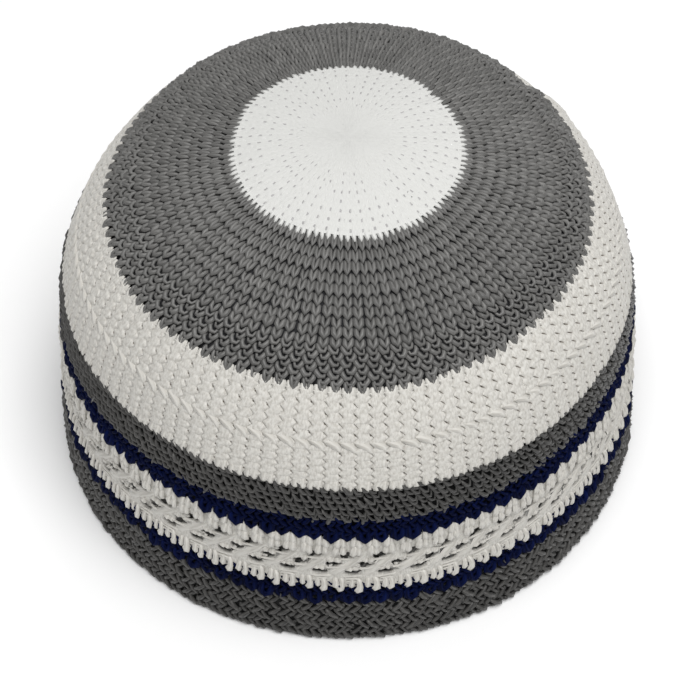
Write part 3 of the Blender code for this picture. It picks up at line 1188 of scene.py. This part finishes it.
class UpperStripe(KnitBand):
    """The upper navy stripe: rows of strokes that lean right and left in turn, and teeth at the foot."""

    name = "navy_stripe_upper"
    finish = Finish.NAVY
    seed = 41
    jitter = Jitter(0.06, 0.05, 0.30, 0.12)
    top_section = "side_foot"
    foot_section = "upper_stripe_foot"
    stroke_rows = 4
    stroke_overlap = 0.6 * MM
    tooth_height = 3.2 * MM
    overhang = 1.4 * MM
    reach_up = 0.0
    wall_reach = 1.5 * MM
    lift = 0.10 * MM
    tooth_lift = 0.15 * MM

    def build(self) -> None:
        """Build the strokes, the teeth and the wall behind them."""
        top = self.at(self.top_section)
        foot = self.at(self.foot_section)
        end = foot + self.overhang
        teeth = end - self.tooth_height
        edges = np.linspace(top - self.reach_up, teeth + self.stroke_overlap, self.stroke_rows + 1)
        strokes = stacked(edges, LoopForm.STROKE, LoopForm.BACK_STROKE, count=2 * WALES, girth=0.25,
                          reach=0.75, lift=self.lift)
        self.knit("strokes", strokes, 5)
        self.knit("teeth", [Course(teeth, end, LoopForm.TALL_LOOP, girth=0.215, lift=self.tooth_lift)], 9)
        self.wall(WallMaker.plain(top, foot + self.wall_reach))


class LowerStripe(UpperStripe):
    """The lower navy stripe."""

    name = "navy_stripe_lower"
    seed = 43
    top_section = "openwork_foot"
    foot_section = "lower_stripe_foot"
    overhang = 1.7 * MM
    reach_up = 1.8 * MM
    wall_reach = 0.0
    lift = -0.1 * MM


class Openwork(KnitBand):
    """The white band whose eyelets climb to the right between smooth slanting cords."""

    name = "openwork_band"
    flatness = 0.7
    seed = 53
    jitter = Jitter(0.035, 0.06, 0.14, 0.09)
    repeats = WALES // 2
    bars_start = 0.4 * MM
    bar_spread = 0.20
    bar_lean = 0.05
    eyelets = (8.2 * MM, 12.4 * MM, 16.2 * MM)
    eyelet_half_height = 1.60 * MM
    eyelet_half_width = 0.26
    step_left = -0.43
    loops_start = 19.4 * MM
    loops_end = 24.2 * MM
    cord_radius = 1.7 * MM
    cord_points = 17
    cord_above = 2.8 * MM
    cord_below = 4.0 * MM
    panel_start = 1.6 * MM
    panel_columns = 10
    panel_rows = 27
    panel_depth = 0.60 * MM
    panel_thickness = 1.2 * MM
    panel_relief = 0.13 * MM
    weld = 0.01 * MM

    def build(self) -> None:
        """Build the pierced panel, then the bars, cords, bumps and loops that lie on it."""
        top = self.at("upper_stripe_foot")
        self._panel(top)
        self.knit("bars", self._bars(top), 6)
        self._cords(top)
        self.knit("bumps", self._bumps(top), 6)
        self.knit("arches", self._arches(top), 6)
        self.knit("loops", self._loops(top), 8)

    def _panel(self, top: float) -> None:
        """Build the panel of white knit that the eyelets are holes in."""
        panel = added(bpy.ops.mesh.primitive_grid_add, "openwork_band_panel", y_subdivisions=self.panel_rows,
                      x_subdivisions=self.repeats * self.panel_columns, size=1.0)
        mesh = panel.data
        flat = coordinates(mesh)
        height = self.at("openwork_foot") - top - self.panel_start
        across = (flat[:, 0] + 0.5) * self.repeats
        down = self.panel_start + (0.5 - flat[:, 1]) * height
        holes = self._pierce(mesh, across, down)
        relief = self.panel_relief * np.random.default_rng(self.seed).standard_normal(across.shape)
        relief[~self._inner(across)] = 0.0
        places = self.surface.place(across * FULL_TURN / self.repeats, top + down, relief - self.panel_depth)
        mesh.vertices.foreach_set("co", places.ravel())
        mesh.uv_layers[0].name = "yarn"
        for loop, corner in zip(mesh.loops, mesh.uv_layers[0].data):
            corner.uv = (across[loop.vertex_index] * 2.5, down[loop.vertex_index] / SheetMaker.FIBRE_CELL)
        select_only(mesh, holes, faces=True)
        with edit_mode():
            bpy.ops.mesh.delete(type="FACE")
            bpy.ops.mesh.select_all(action="SELECT")
            bpy.ops.mesh.remove_doubles(threshold=self.weld)
        applied(panel, "SOLIDIFY", thickness=self.panel_thickness, offset=-1.0)
        mesh.materials.append(self.materials.yarn(self.finish))
        mesh.shade_smooth()
        self.claim(panel, ("openwork_band",))

    def _inner(self, across: np.ndarray) -> np.ndarray:
        """Return which places are off the line where the panel's two ends meet."""
        return (across >= 0.01) & (across <= self.repeats - 0.01)

    def _pierce(self, mesh: Mesh, across: np.ndarray, down: np.ndarray) -> set[int]:
        """Round the edge of each eyelet, in place.

        Args:
            mesh: the flat panel.
            across: where its vertices lie round the cap, in repeats.
            down: how far they lie below the band's top.

        Returns:
            The indices of the faces inside the eyelets.
        """
        levels = np.abs(down[:, None] - np.array(self.eyelets)).argmin(axis=1)
        middle = np.array(self.eyelets)[levels]
        column = np.round(across - self.step_left * levels) + self.step_left * levels
        wide = (across - column) / self.eyelet_half_width
        high = (down - middle) / self.eyelet_half_height
        inside, rim, kept = set(), set(), set()
        for face in mesh.polygons:
            corner = list(face.vertices)
            if math.hypot(wide[corner].mean(), high[corner].mean()) < 1.0 and np.ptp(column[corner]) < 0.5:
                inside.add(face.index)
                rim.update(corner)
            else:
                kept.update(corner)
        edge = np.array(sorted(rim & kept), int)
        edge = edge[self._inner(across[edge])]
        reach = np.hypot(wide[edge], high[edge])
        across[edge] = column[edge] + wide[edge] / reach * self.eyelet_half_width
        down[edge] = middle[edge] + high[edge] / reach * self.eyelet_half_height
        return inside

    def _bars(self, top: float) -> list[Course]:
        """Return the pairs of bars over the highest eyelets. Each bar is two bumps, one over the other."""
        start = top + self.bars_start
        end = top + self.eyelets[0] - self.eyelet_half_height + 0.2 * MM
        middle = 0.55 * start + 0.45 * end
        bumps = ((start, middle + 0.5 * MM, 0.19, 0.35 * MM), (middle, end, 0.20, 0.60 * MM))
        return [
            Course(first, last, LoopForm.BAR, shift=0.5 + side * self.bar_spread,
                   sway_top=-side * self.bar_lean, girth=girth, lift=lift)
            for side in (-1, 1)
            for first, last, girth, lift in bumps
        ]

    def _loops(self, top: float) -> list[Course]:
        """Return the loops at the foot: a slim one and a full hook in each wale."""
        start = top + self.loops_start
        end = top + self.loops_end
        return [
            Course(start, end - 1.3 * MM, LoopForm.BAR, shift=0.22, girth=0.18, lift=0.30 * MM),
            Course(start, end, LoopForm.HOOK, shift=0.62, girth=0.19, lift=0.40 * MM),
        ]

    def _cords(self, top: float) -> None:
        """Lay the smooth cords that slant between the columns of eyelets."""
        share = np.linspace(0.0, 1.0, self.cord_points)
        start = self.eyelets[0] - self.cord_above
        down = start + share * (self.eyelets[-1] + self.cord_below - start)
        slope = 2 * self.step_left / (self.eyelets[-1] - self.eyelets[0])
        across = 0.46 + slope * (down - self.eyelets[0])
        ends = np.sin(share * math.pi) ** 0.6
        random = np.random.default_rng(self.seed)
        turns = (np.arange(self.repeats)[:, None] + across) * FULL_TURN / self.repeats
        turns += 0.0012 * random.standard_normal(turns.shape)
        radius = self.cord_radius * (0.35 + 0.65 * ends) * (1.0 + 0.09 * random.standard_normal(turns.shape))
        rises = 0.1 * MM - self.cord_radius * self.flatness * (1.9 - 0.9 * ends)
        self.lay("cords", Strands(turns, top + down, rises, radius), self.finish)

    def _bumps(self, top: float) -> list[Course]:
        """Return the shelf below each eyelet and the two bumps that hang over each lower one."""
        rows = []
        for level, arc in enumerate(self.eyelets):
            shift = self.step_left * level
            below = top + arc + self.eyelet_half_height
            rows.append(Course(below - 0.3 * MM, below + 0.7 * MM, LoopForm.SHELF, count=self.repeats,
                               shift=shift, girth=0.055, lift=-0.2 * MM))
            if level:
                start = top + self.eyelets[level - 1] + self.eyelet_half_height - 0.2 * MM
                end = top + arc - self.eyelet_half_height + 0.1 * MM
                rows += [Course(start, end, LoopForm.BAR, count=self.repeats, shift=shift + side, girth=0.115)
                         for side in (-0.11, 0.12)]
        return rows

    def _arches(self, top: float) -> list[Course]:
        """Return the thin arches between the lowest eyelets and the loops at the foot."""
        start = top + self.eyelets[-1] + self.eyelet_half_height + 0.4 * MM
        return [Course(start + step, start + step + 1.8 * MM, LoopForm.ARCH, count=self.repeats,
                       shift=2 * self.step_left, girth=0.045, reach=0.8, lift=-0.1 * MM)
                for step in (0.0, 1.1 * MM)]


class Hem(KnitBand):
    """The dark grey hem and its facing, which is turned up inside behind the openwork."""

    name = "hem"
    finish = Finish.DARK_GREY
    radius_share = 0.29
    seed = 61
    jitter = Jitter(0.09, 0.06, 0.35, 0.14)
    stroke_rows = 7
    stroke_start = 1.1 * MM
    fold_height = 1.2 * MM
    facing_depths = (2.3 * MM, 3.7 * MM)
    facing_rise = 1.0 * MM
    facing_rows = 6
    facing_lift = 0.9 * MM

    def profile(self) -> list[WallPoint]:
        """Return the section of the hem's wall: down the outside, round the fold and up the facing."""
        top = self.at("lower_stripe_foot")
        end = self.surface.total
        facing_top = self.at("side_foot") - self.facing_rise
        outer, inner = self.facing_depths
        make = WallMaker
        return [
            # The outside, down to the fold, gets painted shade.
            *make.face(top, end - self.fold_height, -make.OUTER_DEPTH, make.OUTER_ROW, shaded=True),
            WallPoint(end - 0.4 * MM, -make.OUTER_DEPTH),
            WallPoint(end, -make.OUTER_DEPTH - 0.4 * MM),
            WallPoint(end, -inner + 0.8 * MM),
            *make.face(end - 0.8 * MM, facing_top, -inner, make.PURL_ROW, purl=True),
            *make.face(facing_top, end - 2.0 * MM, -outer, make.OUTER_ROW),
            *make.face(end - 2.0 * MM, top, -make.INNER_DEPTH, 2 * make.OUTER_ROW),
        ]

    def build(self) -> None:
        """Build the strokes, the loops round the fold, the facing's stitches and the wall."""
        end = self.surface.total
        top = self.at("lower_stripe_foot") + self.stroke_start
        edges = np.linspace(top, end - self.fold_height, self.stroke_rows + 1)
        self.knit("strokes", stacked(edges, LoopForm.STROKE, LoopForm.BACK_STROKE, count=2 * WALES), 5)
        self.knit("fold", [Course(end - 2.2 * MM, end - 0.75 * MM, LoopForm.FOLD, count=2 * WALES)], 6)
        edges = np.linspace(self.at("upper_stripe_foot") + 4.0 * MM, self.at("openwork_foot") - 5.0 * MM,
                            self.facing_rows + 1)
        stitches = stacked(edges, LoopForm.BACK_STROKE, LoopForm.STROKE, count=2 * WALES,
                           lift=self.facing_lift - self.facing_depths[0])
        self.knit("facing_stitches", stitches, 3, Finish.CROWN_GREY)
        self.wall(self.profile())


@dataclass
class Studio:
    """The pale floor, the soft light and the camera at the photograph's angle.

    Attributes:
        elevation: how far above the floor the camera looks from, in degrees.
        distance: from the middle of the rim to the camera.
        lens: the lens on a 36 mm sensor, in millimetres.
        aim_up: how far the view is tipped up from the middle of the rim, in degrees.
        aim_right: how far it is turned to the right, in degrees.
        floor_size: how wide the floor is.
        floor_colour: its linear colour.
        sky: how strong the even light is.
        lamps: each lamp's name, place, width and power in watts.
        lamp_target: where the lamps face.
    """

    elevation: float = 52.63
    distance: float = 0.772
    lens: float = 122.57
    aim_up: float = 1.175
    aim_right: float = 0.087
    floor_size: float = 3.0
    floor_colour: tuple[float, float, float] = (0.93, 0.93, 0.93)
    sky: float = 0.28
    lamps: tuple[tuple[str, tuple[float, float, float], float, float], ...] = (
        ("key_light", (0.17, -0.46, 1.65), 1.2, 29.3),
        ("back_light", (0.25, 0.9, 1.3), 0.9, 3.2),
    )
    lamp_target: tuple[float, float, float] = (0.0, 0.0, 0.05)

    def build(self) -> None:
        """Build the whole studio."""
        self._floor()
        self._camera()
        for lamp in self.lamps:
            self._lamp(*lamp)
        self._sky()
        bpy.context.scene.view_settings.view_transform = "Standard"

    def _floor(self) -> None:
        """Build the floor."""
        floor = added(bpy.ops.mesh.primitive_plane_add, "floor", size=self.floor_size)
        graph = NodeGraph("pale_floor")
        shader = graph.add("BsdfPrincipled", {"Base Color": (*self.floor_colour, 1.0), "Roughness": 0.9})
        floor.data.materials.append(graph.wire((shader, "BSDF", graph.output, "Surface")))
        floor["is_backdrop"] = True

    def _camera(self) -> None:
        """Place the camera and point it."""
        up = math.radians(self.elevation)
        place = Vector((0.0, -math.cos(up), math.sin(up))) * self.distance
        tip = math.radians(self.elevation - self.aim_up)
        turn = math.radians(self.aim_right)
        data = bpy.data.cameras.new("camera")
        data.lens = self.lens
        bpy.context.scene.camera = self._put(data, place, (math.pi / 2 - tip, 0.0, -turn))

    def _lamp(self, name: str, place: tuple[float, float, float], size: float, power: float) -> None:
        """Hang one soft square lamp that faces the cap.

        Args:
            name: its name.
            place: where it hangs.
            size: how wide it is.
            power: its power in watts.
        """
        data = bpy.data.lights.new(name, "AREA")
        data.size = size
        data.energy = power
        aim = Vector(self.lamp_target) - Vector(place)
        self._put(data, place, aim.to_track_quat("-Z", "Y").to_euler())

    def _put(self, data: bpy.types.ID, place: Sequence[float], turn: Sequence[float]) -> Object:
        """Put a camera or a lamp in the scene, under its data's name."""
        thing = bpy.data.objects.new(data.name, data)
        thing.location = place
        thing.rotation_euler = turn
        bpy.context.scene.collection.objects.link(thing)
        return thing

    def _sky(self) -> None:
        """Fill the room with even light."""
        world = bpy.data.worlds.new("room")
        world.use_nodes = True
        background = world.node_tree.nodes["Background"]
        background.inputs["Color"].default_value = (1.0, 1.0, 1.0, 1.0)
        background.inputs["Strength"].default_value = self.sky
        bpy.context.scene.world = world


def main() -> None:
    """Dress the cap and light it."""
    logging.basicConfig(level=logging.INFO, format="%(name)s: %(message)s")
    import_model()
    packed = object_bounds()
    surface = CapSurface(*packed)
    materials = YarnMaterials()
    for band in (CrownDisc, CrownRing, ShoulderBand, SideBand, UpperStripe, Openwork, LowerStripe, Hem):
        band(surface, materials).build()
    Studio().build()


if __name__ == "__main__":
    main()
